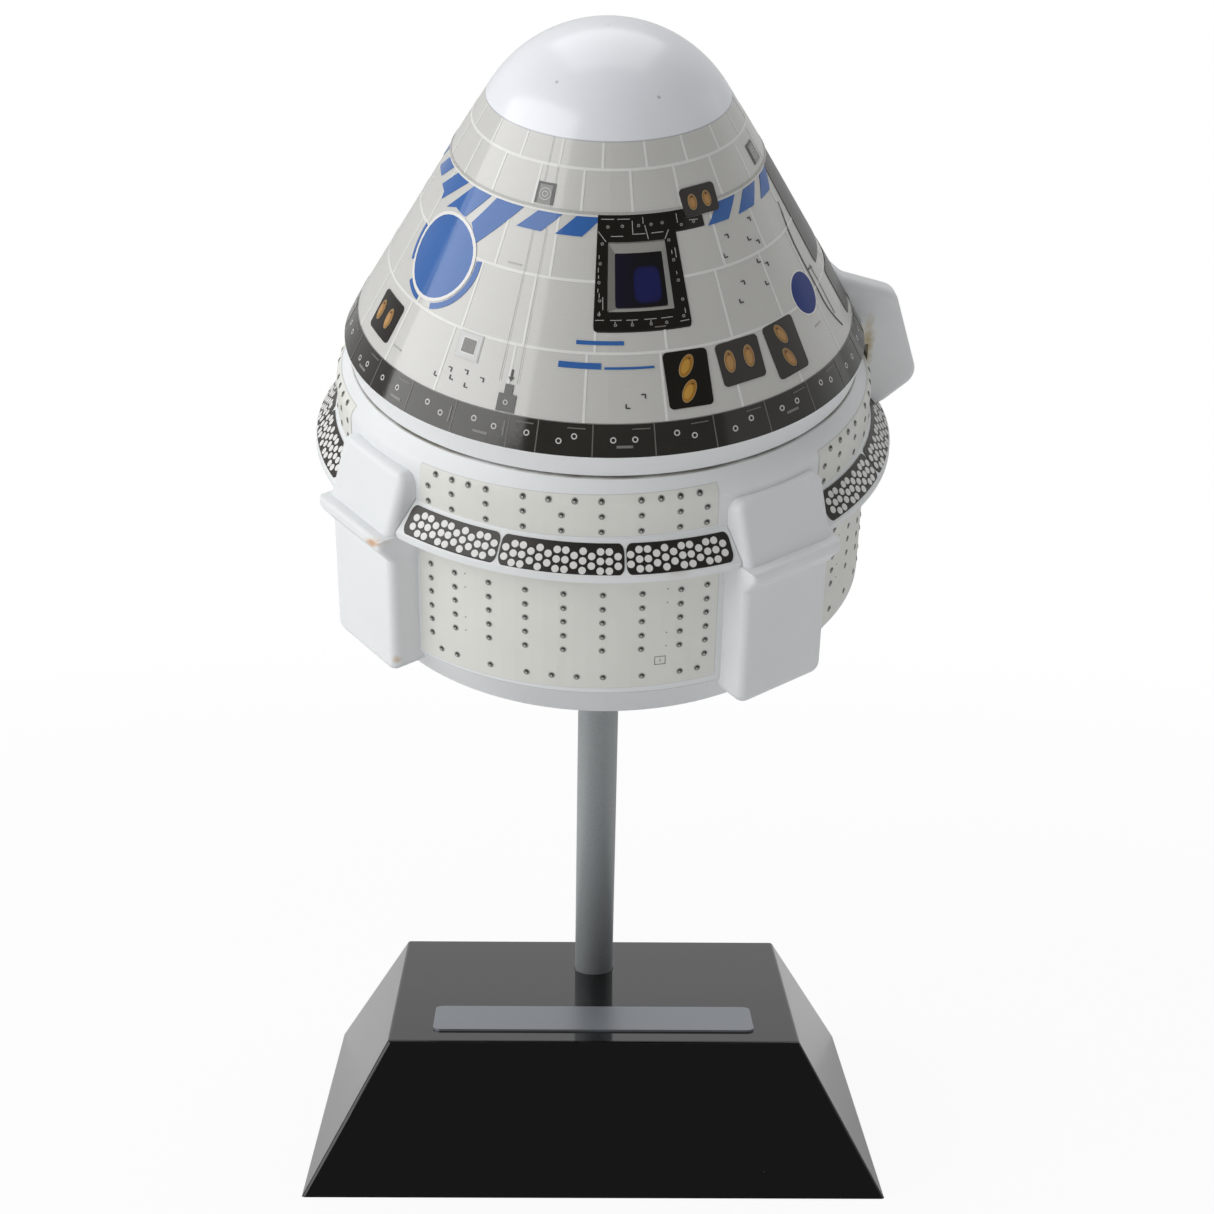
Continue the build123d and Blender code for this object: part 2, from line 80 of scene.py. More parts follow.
# Levels and radii of the capsule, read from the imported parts
SEAM = levels("service_barrel")[1]
BAND_FOOT, BAND_TOP = levels("tile_band")
STEP = levels("cone_wrap")[1]
CONE_TOP = levels("forward_wrap")[1]
BARREL_RADIUS = widest("service_barrel")
RIM_RADIUS = widest("crew_body")
BAND_RADIUS = widest("cone_wrap")
CONE_TOP_RADIUS = widest("nose_dome")
FLARE_RADIUS = widest("flare_1")
SEAM_TO_FLARE = 10.2
FLARE_DROP = 5.2
FLARE_TOP = SEAM - SEAM_TO_FLARE
FLARE_EDGE = FLARE_TOP - FLARE_DROP
PANEL_RADII = [radius for height, radius in reach("dot_panels_1")]
PANEL_MIDDLE = (min(PANEL_RADII) + max(PANEL_RADII)) / 2 - BARREL_RADIUS
STEP_DEPTH = 0.25
INLAY = 0.15
FIRST_DOGHOUSE = 37.0
QUARTER_MIDDLE = FIRST_DOGHOUSE - 45.0
QUARTERS = (0, 90, 180, 270)

# Printed shapes are slabs that start just under the surface and stand out by a layer or more
INK_ROOT = 0.03
INK_LAYER = 0.05
INK_TURN = 3.0


class Surface:
    """A surface of revolution round the capsule's axis, given as (radius, height) points."""

    def __init__(self, *points):
        self.points = sorted(points, key=lambda point: point[1])

    def piece(self, height):
        """The straight piece of the profile that a height lies on."""
        for low, high in zip(self.points, self.points[1:]):
            if height <= high[1]:
                break
        return low, high

    def slope(self, height):
        """Change of the radius for each millimetre of height."""
        low, high = self.piece(height)
        return (high[0] - low[0]) / (high[1] - low[1])

    def radius(self, height):
        """Distance of the surface from the axis at a height."""
        low, high = self.piece(height)
        return low[0] + (height - low[1]) * self.slope(height)

    def at(self, azimuth, height, lift=0.0):
        """Point in metres at an azimuth and a height, lifted off the surface."""
        turn = radians(azimuth + CAPSULE_TURN)
        outward = FRONT * cos(turn) + SIDE * sin(turn)
        normal = (outward - UP * self.slope(height)).normalized()
        spot = outward * self.radius(height) + UP * height + normal * lift
        return AFT + spot * MM

    def beside(self, azimuth, height, outline):
        """An outline in millimetres round a spot, turned into azimuths and heights."""
        rise = 1 / (1 + self.slope(height) ** 2) ** 0.5
        for across, along in outline:
            level = height + along * rise
            yield azimuth + degrees(across / self.radius(level)), level


# Vertices beyond this share of the radius lie on the outer wall
OUTER_SHARE = 0.9


def barrel_profile():
    """The outer profile of the service module, as its mesh has it."""
    outer = {}
    for height, radius in reach("service_barrel"):
        if radius > OUTER_SHARE * BARREL_RADIUS:
            outer[round(height, 1)] = max(radius, outer.get(round(height, 1), 0))
    return [(radius, height) for height, radius in outer.items()]


BARREL = Surface(*barrel_profile())
FLARE = Surface((FLARE_RADIUS, FLARE_EDGE), (BARREL_RADIUS, FLARE_TOP))
BAND = Surface((RIM_RADIUS, BAND_FOOT), (BAND_RADIUS, BAND_TOP))
CONE = Surface((BAND_RADIUS, BAND_TOP), (CONE_TOP_RADIUS, CONE_TOP))
FORWARD = Surface((CONE.radius(STEP) + STEP_DEPTH, STEP), (CONE_TOP_RADIUS, CONE_TOP))


# Shader building


class Wire:
    """A shader socket that takes part in sums; each sum adds a Math node."""

    def __init__(self, nodes, socket):
        self.nodes = nodes
        self.socket = socket

    def math(self, operation, *others):
        return self.nodes.math(operation, self, *others)

    def __add__(self, other):
        return self.math("ADD", other)

    def __sub__(self, other):
        return self.math("SUBTRACT", other)

    def __mul__(self, other):
        return self.math("MULTIPLY", other)

    def __truediv__(self, other):
        return self.math("DIVIDE", other)

    def __rsub__(self, other):
        return self.nodes.math("SUBTRACT", other, self)

    def __abs__(self):
        return self.math("ABSOLUTE")

    __radd__ = __add__


class Nodes:
    """A node tree in the making."""

    def __init__(self, tree):
        self.tree = tree

    def feed(self, socket, value):
        """Links a wire to a socket, or sets the socket to a constant."""
        if isinstance(value, Wire):
            self.tree.links.new(value.socket, socket)
        else:
            socket.default_value = value

    def node(self, kind, settings=None, values=None, output=0):
        """Adds a node of a type, with its settings first and then its socket values or links."""
        made = self.tree.nodes.new("ShaderNode" + kind)
        for setting, value in (settings or {}).items():
            setattr(made, setting, value)
        for socket, value in (values or {}).items():
            self.feed(made.inputs[socket], value)
        return Wire(self, made.outputs[output])

    def math(self, operation, *values):
        return self.node("Math", {"operation": operation}, dict(enumerate(values)))

    def vector(self, operation, first, second, output=0):
        return self.node("VectorMath", {"operation": operation}, {0: first, 1: second}, output)

    def mix(self, factor, first, second):
        """Colour mix: first where the factor is 0 and second where it is 1."""
        sockets = {0: factor, 6: first, 7: second}
        for key in (6, 7):
            if not isinstance(sockets[key], Wire):
                sockets[key] = (*sockets[key], 1)
        return self.node("Mix", {"data_type": "RGBA"}, sockets, 2)

    def place(self):
        """The place in metres, as a wire."""
        return self.node("TexCoord", None, None, 3)

    def noise(self, scale, detail=4.0, roughness=0.55, stretch=(1, 1, 1)):
        """Fractal noise of about 0 to 1 with a scale in cycles a metre."""
        spot = self.vector("MULTIPLY", self.place(), stretch)
        values = {"Vector": spot, "Scale": scale, "Detail": detail, "Roughness": roughness}
        return self.node("TexNoise", None, values)

    def ramp(self, value, low, high):
        """0 below low, 1 above high and a smooth rise between."""
        values = {"Value": value, "From Min": low, "From Max": high}
        return self.node("MapRange", {"interpolation_type": "SMOOTHSTEP"}, values)

    def capsule(self):
        """Height above the aft rim, azimuth in degrees and distance from the axis, as wires."""
        offset = self.vector("SUBTRACT", self.place(), tuple(AFT))
        height = self.vector("DOT_PRODUCT", offset, tuple(UP), 1) / MM
        forward = self.vector("DOT_PRODUCT", offset, tuple(FRONT), 1)
        sideways = self.vector("DOT_PRODUCT", offset, tuple(SIDE), 1)
        distance = self.math("SQRT", forward * forward + sideways * sideways) / MM
        return height, self.math("ARCTAN2", sideways, forward) * (180 / pi) - CAPSULE_TURN, distance

    def spots(self, wanted, scale, size):
        """Scattered small spots: 1 inside a spot, more of them where wanted is larger."""
        values = {"Vector": self.place(), "Scale": scale, "Randomness": 1.0}
        cells = self.node("TexVoronoi", None, values)
        pick = self.node("TexVoronoi", None, values, 1)
        chosen = self.node("SeparateColor", None, {"Color": pick})
        return (1 - self.ramp(cells, size * 0.6, size)) * self.ramp(chosen, 1 - wanted, 1.001 - wanted)

    def near(self, place, reach, stretch=(1, 1, 1), softness=0.35):
        """1 at a place in millimetres, 0 beyond a reach, with a ragged edge."""
        away = self.vector("SUBTRACT", self.place(), tuple(axis * MM for axis in place))
        distance = self.vector("LENGTH", self.vector("MULTIPLY", away, stretch), (0, 0, 0), 1) / MM
        ragged = distance + self.noise(900, 3) * reach * 0.8
        return 1 - self.ramp(ragged, reach * (1.25 - softness), reach * 1.25)


class Finish(Nodes):
    """A material in the making: a Principled shader and the nodes that feed it."""

    def __init__(self, name, colour, roughness, **sockets):
        self.material = bpy.data.materials.new(name)
        self.material.use_nodes = True
        super().__init__(self.material.node_tree)
        self.shader = self.tree.nodes["Principled BSDF"]
        self.set("Base Color", (*colour, 1))
        self.set("Roughness", roughness)
        for socket, value in sockets.items():
            self.set(socket.replace("_", " "), value)

    def set(self, socket, value):
        self.feed(self.shader.inputs[socket], value)

    def bump(self, height, depth):
        """Bump from a height of 0 to 1 that stands for a depth in millimetres."""
        values = {"Height": height, "Distance": depth * MM, "Strength": 1.0}
        self.set("Normal", self.node("Bump", None, values))


def tinted(colour, share):
    """A colour made darker or lighter by a share, no part of it above 1."""
    return tuple(min(1, part * share) for part in colour)


# Chips and glue stains on the castings: place, size, stretch, softness, strength and colour
STAINS = (
    ((-40.2, -77.2, 131.9), 4.4, (1, 1, 2.4), 0.9, 0.45, (0.64, 0.46, 0.3)),
    ((-40.3, -77.1, 131.75), 2.9, (1, 1, 2.4), 0.7, 0.8, (0.62, 0.35, 0.17)),
    ((-36.7, -66.3, 109.0), 1.5, (1, 1, 1), 0.7, 0.65, (0.62, 0.43, 0.24)),
    ((49.3, -44.9, 165.6), 6.6, (3.2, 1.0, 0.6), 0.9, 0.9, (0.5, 0.38, 0.17)),
)
# The seam is clean near the umbilical cover
COVER_AZIMUTH = 97.6
CLEAN_REACH = (15, 20)
# A yellow smear on the flare's edge, between these azimuths
SMEAR_START, SMEAR_END = (11, 13), (15, 17)


def cast_finish(name, colour, roughness=0.42):
    """Painted casting: faint unevenness, an orange-peel skin, dust, chips and glue stains."""
    finish = Finish(name, colour, roughness, Specular_IOR_Level=0.5)
    height, azimuth, distance = finish.capsule()
    cloud = finish.noise(90, 3)
    grain = finish.noise(1500, 3)
    shade = finish.mix(cloud, tinted(colour, 0.965), tinted(colour, 1.02))
    groove = 1 - finish.ramp(distance, RIM_RADIUS - 0.2, RIM_RADIUS + 0.6)
    groove = groove * finish.ramp(abs(azimuth - COVER_AZIMUTH), *CLEAN_REACH)
    seam = (1 - finish.ramp(abs(height - SEAM), 0.05, 0.28)) * groove
    stain = seam * (0.35 + finish.ramp(finish.noise(90, 4), 0.35, 0.65) * 0.45)
    shade = finish.mix(stain, shade, (0.15, 0.125, 0.085))
    smear = finish.ramp(azimuth, *SMEAR_START) * (1 - finish.ramp(azimuth, *SMEAR_END))
    smear = smear * (1 - finish.ramp(abs(height - FLARE_EDGE), 0.2, 1.4))
    shade = finish.mix(smear * finish.noise(300, 4) * 0.35, shade, (0.42, 0.36, 0.22))
    for place, size, stretch, softness, strength, tint in STAINS:
        shade = finish.mix(finish.near(place, size, stretch, softness) * strength, shade, tint)
    dust = finish.spots(0.05, 260, 0.07)
    shade = finish.mix(dust * 0.45, shade, (0.32, 0.29, 0.25))
    finish.set("Base Color", shade)
    finish.set("Roughness", roughness + (cloud - 0.5) * 0.14)
    finish.bump(grain + finish.noise(300, 2) * 0.6, 0.012)
    return finish.material


RIB_PITCH = 0.36


def wrap_finish(name, colour):
    """Printed wrap of the cone: fine ribs across, a paper-like mottling and a clear coat."""
    finish = Finish(name, colour, 0.36, Coat_Roughness=0.07, Coat_IOR=1.5)
    height = finish.capsule()[0]
    rib = finish.math("SINE", height * (2 * pi / RIB_PITCH)) * 0.5 + 0.5
    mottle = finish.noise(900, 4)
    broad = finish.noise(40, 3)
    strength = 0.07 + finish.ramp(finish.noise(25, 2), 0.35, 0.7) * 0.07
    shade = finish.mix(rib * strength * 2, colour, tinted(colour, 0.72))
    shade = finish.mix(mottle * 0.16, shade, tinted(colour, 0.86))
    shade = finish.mix(broad * 0.12, shade, tinted(colour, 0.9))
    finish.set("Base Color", shade)
    finish.set("Roughness", 0.32 + mottle * 0.14)
    finish.set("Coat Weight", 0.55 + broad * 0.2)
    finish.bump(rib * 0.5 + mottle * 0.3, 0.004)
    return finish.material


def gloss_finish(name, colour, roughness=0.2, variation=0.08, depth=0.003, shine=0.5):
    """Gloss print or paint with faint clouding and a nearly flat skin."""
    finish = Finish(name, colour, roughness, Specular_IOR_Level=shine)
    cloud = finish.noise(120, 4)
    grain = finish.noise(1400, 3)
    lighter = tuple(min(1, c * (1 + variation) + 0.002) for c in colour)
    finish.set("Base Color", finish.mix(cloud, tinted(colour, 1 - variation), lighter))
    finish.set("Roughness", roughness + (grain - 0.5) * 0.1)
    finish.bump(grain, depth)
    return finish.material


DOME_CHIPS = ((-8.5, -83.1, 210.7), (8.6, -84.8, 208.3))
DOME_CHIP_SIZE = 0.42


def dome_finish():
    """Gloss white dome with two small chips and a faint grey line round its foot."""
    finish = Finish("dome_gloss_white", (0.83, 0.85, 0.9), 0.24, Coat_Roughness=0.12)
    height = finish.capsule()[0]
    cloud = finish.noise(70, 3)
    shade = finish.mix(cloud, (0.81, 0.83, 0.885), (0.86, 0.875, 0.92))
    foot = 1 - finish.ramp(abs(height - CONE_TOP), 0.0, 0.28)
    shade = finish.mix(foot * 0.75, shade, (0.22, 0.23, 0.24))
    for place in DOME_CHIPS:
        shade = finish.mix(finish.near(place, DOME_CHIP_SIZE) * 0.6, shade, (0.36, 0.34, 0.32))
    finish.set("Base Color", shade)
    finish.set("Roughness", 0.2 + cloud * 0.1)
    finish.set("Coat Weight", 0.3 + cloud * 0.1)
    finish.bump(finish.noise(500, 3), 0.004)
    return finish.material


def lacquer_finish():
    """Black piano lacquer with dust and hairline scuffs."""
    finish = Finish("black_piano_lacquer", (0.001, 0.001, 0.0012), 0.06, Specular_IOR_Level=0.5)
    cloud = finish.noise(60, 4)
    dust = finish.spots(0.1, 420, 0.05)
    scuff = finish.ramp(finish.noise(220, 6, 0.7, (1, 6, 1)), 0.62, 0.75)
    finish.set("Base Color", finish.mix(dust * 0.8, (0.001, 0.001, 0.0012), (0.1, 0.1, 0.1)))
    finish.set("Roughness", 0.05 + cloud * 0.05 + scuff * 0.08 + dust * 0.4)
    finish.bump(finish.noise(35, 2), 0.01)
    return finish.material


def felt_finish():
    """Black felt of short fibres."""
    finish = Finish("black_felt", (0.02, 0.02, 0.02), 0.95, Sheen_Weight=0.4)
    fibres = finish.noise(2500, 5, 0.8)
    finish.set("Base Color", finish.mix(fibres, (0.012, 0.012, 0.013), (0.04, 0.04, 0.042)))
    finish.bump(fibres, 0.2)
    return finish.material


def rod_finish():
    """Silver-grey painted rod with a fine metallic grain."""
    finish = Finish("rod_silver_paint", (0.34, 0.355, 0.36), 0.45, Metallic=0.3)
    grain = finish.noise(2600, 3, 0.7)
    cloud = finish.noise(80, 3, 0.5, (1, 1, 0.25))
    shade = finish.mix(grain, (0.27, 0.295, 0.3), (0.5, 0.53, 0.54))
    finish.set("Base Color", finish.mix(cloud * 0.3, shade, (0.24, 0.25, 0.255)))
    finish.set("Roughness", 0.36 + grain * 0.16)
    finish.bump(grain, 0.006)
    return finish.material


def plate_finish():
    """Satin plate, bare, with long brushing lines and soft clouds."""
    finish = Finish("satin_plate", (0.24, 0.26, 0.285), 0.34, Metallic=0.6)
    brushing = finish.noise(900, 4, 0.6, (0.04, 1, 1))
    cloud = finish.noise(110, 3)
    shade = finish.mix(brushing, (0.265, 0.285, 0.315), (0.34, 0.365, 0.395))
    finish.set("Base Color", finish.mix(cloud * 0.25, shade, (0.25, 0.265, 0.29)))
    finish.set("Roughness", 0.3 + brushing * 0.12)
    finish.bump(brushing, 0.003)
    return finish.material


# The pane's reflection: azimuth and height of its middle, and half of its size in the same units
REFLECTION = (11.6, 79.15)
REFLECTION_HALF = (3.9, 2.6)


def pane_finish():
    """Near-black pane with a soft-edged deep blue reflection low on its right."""
    finish = Finish("window_navy", (0.006, 0.005, 0.009), 0.12, Specular_IOR_Level=0.36)
    height, azimuth = finish.capsule()[:2]
    cloud = finish.noise(260, 4)
    across = finish.math("POWER", abs(azimuth - REFLECTION[0]) / REFLECTION_HALF[0], 4.0)
    along = finish.math("POWER", abs(height - REFLECTION[1]) / REFLECTION_HALF[1], 4.0)
    patch = (1 - finish.ramp(across + along, 0.45, 1.45)) * (0.7 + cloud * 0.5)
    left = 1 - finish.ramp(azimuth, 3.0, 12.0)
    shade = finish.mix(left, (0.0055, 0.0045, 0.006), (0.0065, 0.0055, 0.017))
    finish.set("Base Color", finish.mix(patch, shade, (0.011, 0.0125, 0.09)))
    finish.set("Roughness", 0.08 + cloud * 0.08)
    finish.bump(finish.noise(700, 3), 0.002)
    return finish.material


CELL_PITCH = 5.2


def cell_finish():
    """Dark solar cells: a square grid of thin silver lines on deep blue-black."""
    finish = Finish("solar_cells", (0.012, 0.018, 0.05), 0.25)
    offset = finish.vector("SUBTRACT", finish.place(), tuple(AFT))
    lines = 0
    for way in (FRONT, SIDE):
        along = finish.vector("DOT_PRODUCT", offset, tuple(way), 1) / (CELL_PITCH * MM)
        line = finish.ramp(abs(finish.math("FRACT", along) - 0.5), 0.45, 0.47)
        lines = finish.math("MAXIMUM", line, lines)
    fine = finish.noise(300, 3)
    shade = finish.mix(fine, (0.008, 0.012, 0.04), (0.02, 0.028, 0.07))
    finish.set("Base Color", finish.mix(lines * 0.8, shade, (0.3, 0.31, 0.33)))
    finish.set("Roughness", 0.2 + lines * 0.25)
    finish.bump(1 - lines, 0.02)
    return finish.material


WHITE = (0.82, 0.84, 0.85)
materials = {
    "white_cast": cast_finish("white_casting", WHITE),
    "wrap_print": wrap_finish("cone_wrap_print", (0.605, 0.6, 0.57)),
    "gloss_white": dome_finish(),
    "band_print": gloss_finish("tile_black", (0.019, 0.0175, 0.013), 0.1, 0.25, shine=0.6),
    "black_print": gloss_finish("panel_black", (0.0085, 0.0065, 0.0035), 0.16, 0.25, shine=0.36),
    "grey_print": gloss_finish("side_panel_grey", (0.1, 0.093, 0.092), 0.34, 0.2),
    "reveal_grey": gloss_finish("window_reveal_grey", (0.185, 0.18, 0.162), 0.3, 0.1),
    "window_blue": pane_finish(),
    "dot_print": gloss_finish("perforated_black", (0.012, 0.0095, 0.006), 0.34, 0.3),
    "solar_cells": cell_finish(),
    "bell_grey": gloss_finish("engine_grey", (0.16, 0.165, 0.17), 0.4, 0.12),
    "black_lacquer": lacquer_finish(),
    "felt": felt_finish(),
    "rod_paint": rod_finish(),
    "silver_plate": plate_finish(),
}
# Three of the thruster panels are browner than the others
panel_brown = gloss_finish("panel_brown_black", (0.028, 0.0245, 0.021), 0.18, 0.2)
BROWN_PANELS = ("thruster_panel_2", "thruster_panel_3", "thruster_panel_5")
for part in frame["record"]["subparts"]:
    node = frame["nodes"][part["node"]]
    node.data.materials.clear()
    brown = part["node"] in BROWN_PANELS
    node.data.materials.append(panel_brown if brown else materials[part["material_slot"]])

# Inks for what is printed on the parts
ink_blue = gloss_finish("ink_blue", (0.034, 0.13, 0.4), 0.13, 0.1)
ink_deep_blue = gloss_finish("ink_deep_blue", (0.014, 0.035, 0.2), 0.16, 0.1, shine=0.15)
ink_white = gloss_finish("ink_white", (0.78, 0.775, 0.755), 0.3, 0.05)
ink_ring = gloss_finish("ink_ring", (0.6, 0.59, 0.57), 0.3, 0.08)
ink_pale = gloss_finish("ink_pale_line", (0.76, 0.76, 0.735), 0.26, 0.04)
ink_soft = gloss_finish("ink_soft_edge", (0.62, 0.63, 0.625), 0.32, 0.06)
ink_faint = gloss_finish("ink_faint_line", (0.56, 0.555, 0.53), 0.3, 0.04)
ink_line = gloss_finish("ink_thin_grey", (0.4, 0.395, 0.375), 0.3, 0.1)
ink_halo = gloss_finish("ink_rivet_halo", (0.28, 0.28, 0.262), 0.34, 0.12)
# A lighter grey for the reveal's top and foot, painted light
ink_reveal_painted_light = gloss_finish("ink_reveal_painted_light", (0.325, 0.32, 0.295), 0.34, 0.12)
ink_grey = gloss_finish("ink_grey", (0.2, 0.195, 0.185), 0.26, 0.1)
ink_mid = gloss_finish("ink_mid_grey", (0.44, 0.435, 0.41), 0.28, 0.08)
ink_slate = gloss_finish("ink_slate", (0.095, 0.094, 0.09), 0.22, 0.15)
ink_dim = gloss_finish("ink_dim", (0.15, 0.14, 0.125), 0.26, 0.15)
ink_dark = gloss_finish("ink_dark", (0.04, 0.038, 0.035), 0.25, 0.2)
ink_cream = gloss_finish("ink_cream", (0.77, 0.77, 0.725), 0.4, 0.04)
ink_amber = gloss_finish("ink_amber", (0.34, 0.17, 0.05), 0.22, 0.25)
# A lighter copy of the amber ink, painted light on the mouths' middles
ink_amber_painted_light = gloss_finish("ink_amber_painted_light", (0.46, 0.25, 0.08), 0.22, 0.25)
ink_orange = gloss_finish("ink_orange", (0.4, 0.18, 0.022), 0.22, 0.25)
# A lighter copy of the orange ink, painted light on the mouths' middles
ink_orange_painted_light = gloss_finish("ink_orange_painted_light", (0.56, 0.3, 0.05), 0.22, 0.25)
ink_amber_rim = gloss_finish("ink_amber_rim", (0.42, 0.32, 0.16), 0.24, 0.15)


# Printed shapes, in millimetres round a spot


def bar(width, length, turn=0.0):
    """A box with its middle on the spot."""
    corners = ((-0.5, -0.5), (0.5, -0.5), (0.5, 0.5), (-0.5, 0.5))
    return turned([(x * width, y * length) for x, y in corners], turn)


def turned(outline, turn):
    """The outline turned by an angle in degrees."""
    c, s = cos(radians(turn)), sin(radians(turn))
    return [(x * c - y * s, x * s + y * c) for x, y in outline]


def oval(width, length=None, turn=0.0, sides=20):
    """An ellipse, or a circle when no length is given."""
    half_width, half_length = width / 2, (length or width) / 2
    steps = [2 * pi * step / sides for step in range(sides)]
    return turned([(half_width * cos(step), half_length * sin(step)) for step in steps], turn)


def arc_band(radius, thickness, first, last, sides=16):
    """Part of a ring between two angles, its line centred on a radius."""
    steps = [radians(first + (last - first) * step / sides) for step in range(sides + 1)]
    outer = [(cos(step), sin(step), radius + thickness / 2) for step in steps]
    inner = [(cos(step), sin(step), radius - thickness / 2) for step in reversed(steps)]
    return [(x * size, y * size) for x, y, size in outer + inner]


def ring(radius, thickness):
    """A ring in two halves."""
    return arc_band(radius, thickness, 0, 180), arc_band(radius, thickness, 180, 360)


def box(left, right, low, high):
    """A patch between two azimuths and two heights."""
    return [(left, low), (right, low), (right, high), (left, high)]


def belt(low, high):
    """A line all round, between two heights."""
    return box(-180, 180, low, high)


def printed(name, surface, outlines, ink, layer=1, raised=0.0):
    """A piece of thin slabs, one for each outline of azimuths and heights on a surface."""
    mesh = bmesh.new()
    for outline in outlines:
        mesh.faces.new([mesh.verts.new((azimuth, height, 0)) for azimuth, height in outline])
    across = [vertex.co.x for vertex in mesh.verts]
    cuts = [
        ((step * INK_TURN, 0, 0), (1, 0, 0))
        for step in range(ceil(min(across) / INK_TURN), floor(max(across) / INK_TURN) + 1)
    ]
    cuts += [((0, point[1], 0), (0, 1, 0)) for point in surface.points]
    for spot, normal in cuts:
        whole = [*mesh.verts, *mesh.edges, *mesh.faces]
        bmesh.ops.bisect_plane(mesh, geom=whole, plane_co=spot, plane_no=normal, dist=1e-5)
    grown = bmesh.ops.extrude_face_region(mesh, geom=mesh.faces[:], use_keep_orig=True)
    tops = [item for item in grown["geom"] if isinstance(item, bmesh.types.BMVert)]
    for vertex in tops:
        vertex.co.z = INK_ROOT + INK_LAYER * layer
    for vertex in mesh.verts:
        vertex.co = surface.at(vertex.co.x, vertex.co.y, raised - INK_ROOT + vertex.co.z)
    bmesh.ops.recalc_face_normals(mesh, faces=mesh.faces[:])
    piece(name, mesh, ink)


def linked(name, data):
    """A new object with its data, linked to the scene."""
    made = bpy.data.objects.new(name, data)
    bpy.context.scene.collection.objects.link(made)
    return made


def piece(name, mesh, material):
    """Turns a finished bmesh into a piece that rides on the one body."""
    data = bpy.data.meshes.new(name)
    mesh.to_mesh(data)
    mesh.free()
    data.materials.append(material)
    made = linked(name, data)
    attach(made, "root")


def around(surface, spots, *shapes):
    """Each shape of millimetres repeated round each (azimuth, height) spot."""
    return [list(surface.beside(*spot, shape)) for spot in spots for shape in shapes]


def stroke(surface, route, width):
    """A line of a width along azimuths and heights, as one box for each straight run."""
    for (left, low), (right, high) in zip(route, route[1:]):
        middle = (left + right) / 2, (low + high) / 2
        across = radians(right - left) * surface.radius(middle[1])
        along = (high - low) * (1 + surface.slope(middle[1]) ** 2) ** 0.5
        length = (across**2 + along**2) ** 0.5
        turn = degrees(Vector((along, -across)).angle_signed(Vector((1, 0)), 0))
        yield list(surface.beside(*middle, bar(width, length + width / 2, turn)))


# The cone's pale grid: rows of panels with their own seams
GRID_LINE = 0.42
LOW_ROW, HIGH_ROW, FORWARD_ROW = 69.3, 79.6, 95.7
SEAM_PITCH = 18.1
SEAM_NUMBERS = range(-9, 11)
SEAM_END = 0.4
CONE_SEAMS = (
    (BAND_TOP, LOW_ROW, -4.7),
    (LOW_ROW, HIGH_ROW, -2.9),
    (HIGH_ROW, STEP - SEAM_END, 1.1),
)
FORWARD_SEAMS = ((STEP + SEAM_END, FORWARD_ROW, -9.5), (FORWARD_ROW, CONE_TOP, -2.4))


def grid(surface, rows, seams):
    """Pale lines of a panel grid: whole rings at the rows and upright lines between them."""
    lines = [belt(row - GRID_LINE / 2, row + GRID_LINE / 2) for row in rows]
    for low, high, first in seams:
        for number in SEAM_NUMBERS:
            azimuth = first + number * SEAM_PITCH
            if -180 <= azimuth < 180:
                half = degrees(GRID_LINE / 2 / surface.radius((low + high) / 2))
                lines.append(box(azimuth - half, azimuth + half, low, high))
    return lines


cone_grid = grid(CONE, (LOW_ROW, HIGH_ROW), CONE_SEAMS)
forward_grid = grid(FORWARD, (FORWARD_ROW,), FORWARD_SEAMS)
printed("cone_grid", CONE, cone_grid, ink_pale)
printed("forward_grid", FORWARD, forward_grid, ink_pale)
printed("step_line", CONE, [belt(STEP - 0.42, STEP - 0.05)], ink_pale, 2)
printed("step_shadow", FORWARD, [belt(STEP + 0.02, STEP + 0.4)], ink_mid, 2)

# Thin upright lines where the wrap's ends overlap
WRAP_ENDS = ((-25.2, ink_faint), (-24.8, ink_pale), (-20.7, ink_faint), (-20.3, ink_pale))
WRAP_LINE = 0.1
for number, (azimuth, ink) in enumerate(WRAP_ENDS):
    for name, surface, low, high in (
        ("cone_wrap_end", CONE, BAND_TOP + 4.4, STEP - 0.5),
        ("forward_wrap_end", FORWARD, STEP + 0.5, CONE_TOP),
    ):
        half = degrees(WRAP_LINE / 2 / surface.radius((low + high) / 2))
        line = [box(azimuth - half, azimuth + half, low, high)]
        printed(f"{name}_{number + 1}", surface, line, ink)

# Blue stripes below the step; the pattern goes on round the back
STRIPE_FOOT, STRIPE_HEAD = 85.95, 88.85
STRIPE_WIDTH = 9.0
STRIPE_SLANT = 6.6
SEEN_STRIPES = (-89.2, -31.5, -17.5, 35.2, 49.4, 64.0)
STRIPE_PITCH = 14.5
BACK_STRIPES = tuple(122.5 + STRIPE_PITCH * number for number in range(10))
LONG_STRIPES = (
    ((-42.5, STRIPE_HEAD), (-30.6, STRIPE_HEAD), (-44.3, 81.6), (-49.2, 84.0)),
    ((-55.3, STRIPE_HEAD), (-45.2, STRIPE_HEAD), (-53.3, 84.2), (-59.5, 84.7), (-64.6, 83.8)),
    ((-68.2, STRIPE_HEAD), (-59.1, STRIPE_HEAD), (-70.3, 84.0), (-71.2, 85.1), (-75.5, 85.5)),
)
stripes = [
    [
        (left, STRIPE_FOOT),
        (left + STRIPE_WIDTH, STRIPE_FOOT),
        (left + STRIPE_WIDTH + STRIPE_SLANT, STRIPE_HEAD),
        (left + STRIPE_SLANT, STRIPE_HEAD),
    ]
    for left in SEEN_STRIPES + BACK_STRIPES
]
printed("blue_stripes", CONE, [*stripes, *LONG_STRIPES], ink_blue, 2)

# A plain blue roundel, a little flatter than round, with a pale ring and three arcs
ROUNDEL = (-55.9, 77.3)
ROUNDEL_RADIUS = 7.7
ROUNDEL_FLATNESS = 0.95
RING_WIDTH = 0.62
ARCS = ((9.15, 1.1, -73, 15), (8.95, 0.85, 163, 207), (8.95, 0.8, 232, 262))


